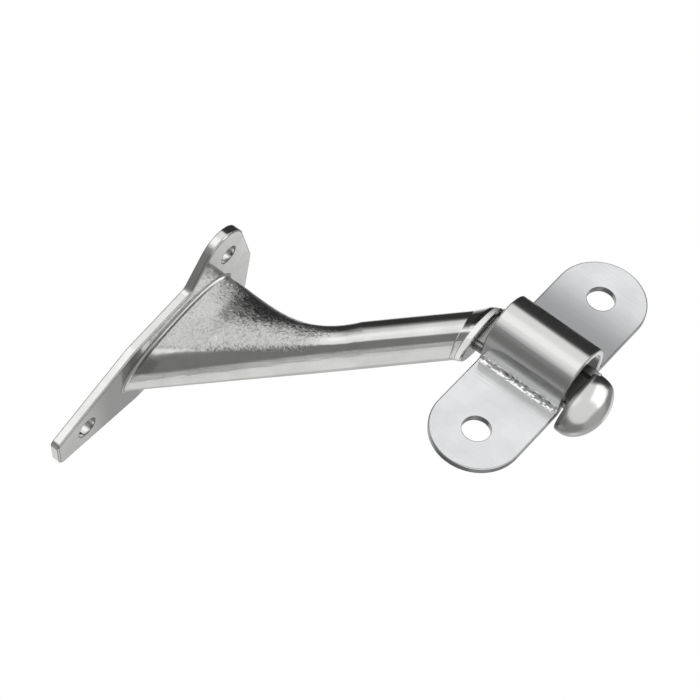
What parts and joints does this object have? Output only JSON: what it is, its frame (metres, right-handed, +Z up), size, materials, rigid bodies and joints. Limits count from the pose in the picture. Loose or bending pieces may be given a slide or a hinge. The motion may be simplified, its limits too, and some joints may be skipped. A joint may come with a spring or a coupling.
{
  "type": "handrail bracket",
  "caption": "Wall bracket for a handrail: flat screw plate, flared round arm and a seat that a loose saddle strap clamps under the rail.",
  "frame": {"origin": "on the back face of the wall plate, midway between its upper screw holes", "axes": "+Y out of the wall towards the knob, +Z up towards the rail, +X along the wall and the rail; the YZ plane halves the casting"},
  "size_m": [0.0338, 0.0818, 0.1089],
  "materials": {
    "cast_body": "satin nickel over a casting, grained on the flare",
    "stamped_strap": "satin nickel over pressed sheet"
  },
  "bodies": {
    "casting": {"bracket": "cast_body"},
    "saddle": {"strap": "stamped_strap"}
  },
  "joints": [
    {"name": "strap_turn", "type": "hinge", "parent": "casting", "child": "saddle", "pos_m": [0, 0.06375, 0.0248], "axis": [0, 1, 0], "range_deg": [-80, 190]}
  ]
}
